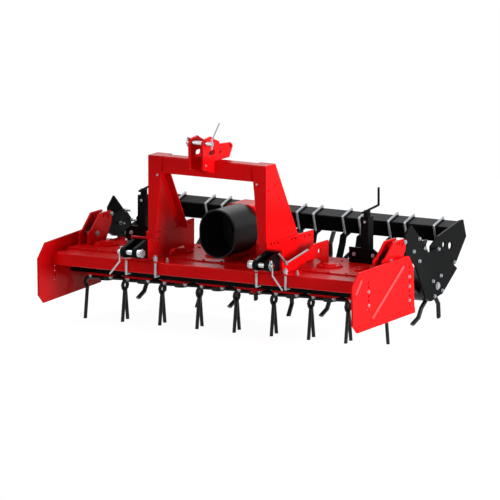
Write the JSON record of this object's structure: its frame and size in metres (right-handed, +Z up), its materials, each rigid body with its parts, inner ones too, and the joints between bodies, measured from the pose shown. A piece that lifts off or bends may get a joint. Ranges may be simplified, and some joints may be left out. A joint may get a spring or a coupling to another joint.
{
  "type": "power harrow",
  "caption": "Mounted power harrow with rows of bent tines on upright rotors under a gear trough, a three-point headstock, side plates and a spiked rear roller with scrapers.",
  "frame": {"origin": "on the floor, in the middle of the machine's box", "axes": "+X to the machine's right-hand side, +Y to its rear, +Z up"},
  "size_m": [2.1272, 1.462, 1.3117],
  "materials": {
    "red_paint": "gloss",
    "black_paint": "satin",
    "zinc": "satin",
    "bright_pin": "polished",
    "guard_plastic": "satin"
  },
  "bodies": {
    "frame": {"trough": "red_paint", "trough_floor": "black_paint", "cover": "red_paint", "front_bar": "red_paint", "rear_bar": "red_paint", "bar_clamps": "zinc", "bearing_flanges": "red_paint", "end_plate_left": "red_paint", "end_plate_right": "red_paint", "upright_left": "red_paint", "upright_right": "red_paint", "cross_tube": "red_paint", "base_left": "red_paint", "base_right": "red_paint", "top_hitch": "red_paint", "top_pin": "bright_pin", "clevis_left": "black_paint", "clevis_right": "black_paint", "lower_pin_left": "bright_pin", "lower_pin_right": "bright_pin", "gearbox": "red_paint", "pto_guard": "guard_plastic", "arm_bracket_left": "red_paint", "arm_bracket_right": "red_paint", "arm_pins": "zinc", "jack_left": "black_paint", "jack_right": "black_paint", "crank_left": "black_paint", "crank_right": "black_paint"},
    "rotor_1": {"rotor_1": "black_paint"},
    "rotor_2": {"rotor_2": "black_paint"},
    "rotor_3": {"rotor_3": "black_paint"},
    "rotor_4": {"rotor_4": "black_paint"},
    "rotor_5": {"rotor_5": "black_paint"},
    "rotor_6": {"rotor_6": "black_paint"},
    "rotor_7": {"rotor_7": "black_paint"},
    "rotor_8": {"rotor_8": "black_paint"},
    "pto_shaft": {"pto_shaft": "black_paint"},
    "levelling_bar": {"levelling_bar": "black_paint"},
    "roller_frame": {"arm_left": "black_paint", "arm_right": "black_paint", "side_plate_left": "black_paint", "side_plate_right": "black_paint", "scraper_beam": "black_paint", "scraper_clamps": "zinc", "scrapers": "black_paint"},
    "roller": {"roller": "black_paint"}
  },
  "joints": [
    {"name": "rotor_1_spin", "type": "hinge", "parent": "frame", "child": "rotor_1", "pos_m": [-0.875, -0.226, 0.241], "axis": [0, 0, 1], "continuous": true},
    {"name": "rotor_2_spin", "type": "hinge", "parent": "frame", "child": "rotor_2", "pos_m": [-0.625, -0.226, 0.241], "axis": [0, 0, 1], "continuous": true},
    {"name": "rotor_3_spin", "type": "hinge", "parent": "frame", "child": "rotor_3", "pos_m": [-0.375, -0.226, 0.241], "axis": [0, 0, 1], "continuous": true},
    {"name": "rotor_4_spin", "type": "hinge", "parent": "frame", "child": "rotor_4", "pos_m": [-0.125, -0.226, 0.241], "axis": [0, 0, 1], "continuous": true},
    {"name": "rotor_5_spin", "type": "hinge", "parent": "frame", "child": "rotor_5", "pos_m": [0.125, -0.226, 0.241], "axis": [0, 0, 1], "continuous": true},
    {"name": "rotor_6_spin", "type": "hinge", "parent": "frame", "child": "rotor_6", "pos_m": [0.375, -0.226, 0.241], "axis": [0, 0, 1], "continuous": true},
    {"name": "rotor_7_spin", "type": "hinge", "parent": "frame", "child": "rotor_7", "pos_m": [0.625, -0.226, 0.241], "axis": [0, 0, 1], "continuous": true},
    {"name": "rotor_8_spin", "type": "hinge", "parent": "frame", "child": "rotor_8", "pos_m": [0.875, -0.226, 0.241], "axis": [0, 0, 1], "continuous": true},
    {"name": "pto_spin", "type": "hinge", "parent": "frame", "child": "pto_shaft", "pos_m": [0, -0.226, 0.606], "axis": [0, -1, 0], "continuous": true},
    {"name": "levelling_slide", "type": "slide", "parent": "frame", "child": "levelling_bar", "axis": [0, 0, 1], "range_m": [-0.1, 0.03]},
    {"name": "roller_swing", "type": "hinge", "parent": "frame", "child": "roller_frame", "pos_m": [0, -0.211, 0.493], "axis": [-1, 0, 0], "range_deg": [0, 8]},
    {"name": "roller_spin", "type": "hinge", "parent": "roller_frame", "child": "roller", "pos_m": [0, 0.375, 0.264], "axis": [1, 0, 0], "continuous": true}
  ],
  "couplings": [
    {"joint": "rotor_2_spin", "follows": "rotor_1_spin", "ratio": -1},
    {"joint": "rotor_3_spin", "follows": "rotor_1_spin", "ratio": 1},
    {"joint": "rotor_4_spin", "follows": "rotor_1_spin", "ratio": -1},
    {"joint": "rotor_5_spin", "follows": "rotor_1_spin", "ratio": 1},
    {"joint": "rotor_6_spin", "follows": "rotor_1_spin", "ratio": -1},
    {"joint": "rotor_7_spin", "follows": "rotor_1_spin", "ratio": 1},
    {"joint": "rotor_8_spin", "follows": "rotor_1_spin", "ratio": -1},
    {"joint": "pto_spin", "follows": "rotor_1_spin", "ratio": 2}
  ]
}
